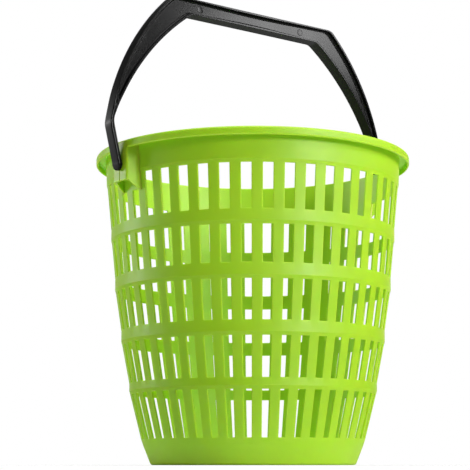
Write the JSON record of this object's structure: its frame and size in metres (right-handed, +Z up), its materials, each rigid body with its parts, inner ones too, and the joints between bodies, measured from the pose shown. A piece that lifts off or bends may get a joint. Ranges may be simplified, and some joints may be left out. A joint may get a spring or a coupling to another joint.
{
  "type": "harvest basket",
  "caption": "Round tapered plastic harvest basket with slotted hoop-banded wall, rolled rim, drained floor and a folding bail handle pivoted in lugs under the rim.",
  "frame": {"origin": "centre of the round base, on the surface that the basket stands on", "axes": "+Z up along the basket's axis, X along the bail's pivot line from lug to lug"},
  "size_m": [0.3063, 0.281, 0.4087],
  "materials": {
    "green_plastic": "satin moulded",
    "black_plastic": "satin moulded"
  },
  "bodies": {
    "basket": {"basket": "green_plastic"},
    "bail": {"bail_handle": "black_plastic"}
  },
  "joints": [
    {"name": "bail_fold", "type": "hinge", "parent": "basket", "child": "bail", "pos_m": [0, 0, 0.2507], "axis": [1, 0, 0], "range_deg": [-116.5, 116.5]}
  ]
}
